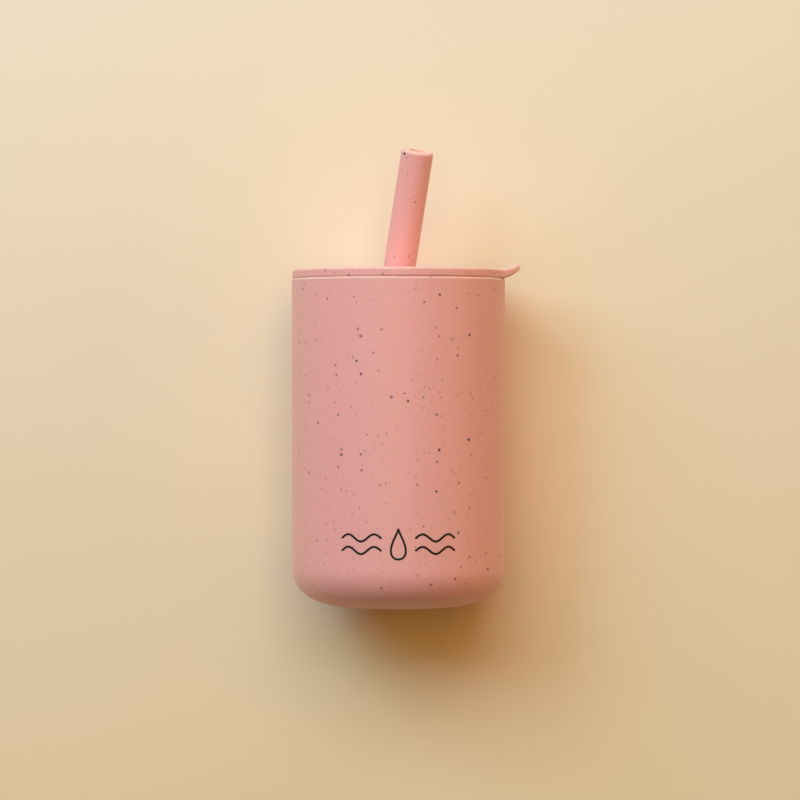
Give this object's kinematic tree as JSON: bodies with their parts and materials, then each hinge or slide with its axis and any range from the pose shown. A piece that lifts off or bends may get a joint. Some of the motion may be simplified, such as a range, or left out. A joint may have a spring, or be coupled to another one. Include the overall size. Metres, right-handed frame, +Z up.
{
  "type": "straw cup",
  "caption": "Toddler's soft silicone straw cup: rounded tumbler, push-in lid with a curled lifting tab, and a leaning drinking straw.",
  "frame": {"origin": "centre of the cup's base, on the plane it stands on", "axes": "+Z up along the cup's own axis; +X towards the lid's lifting tab; -Y is the side that the printed motif and the picture show"},
  "size_m": [0.0707, 0.066, 0.142],
  "materials": {
    "cup_silicone": "matt speckled silicone",
    "lid_silicone": "matt speckled silicone",
    "straw_silicone": "matt speckled silicone"
  },
  "bodies": {
    "cup": {"cup_body": "cup_silicone"},
    "lid": {"lid": "lid_silicone"},
    "straw": {"straw": "straw_silicone"}
  },
  "joints": [
    {"name": "lid_lift", "type": "slide", "parent": "cup", "child": "lid", "axis": [0, 0, 1], "range_m": [0, 0.1]},
    {"name": "straw_slide", "type": "slide", "parent": "lid", "child": "straw", "axis": [0.1526, -0.1925, 0.9693], "range_m": [0, 0.102]}
  ]
}
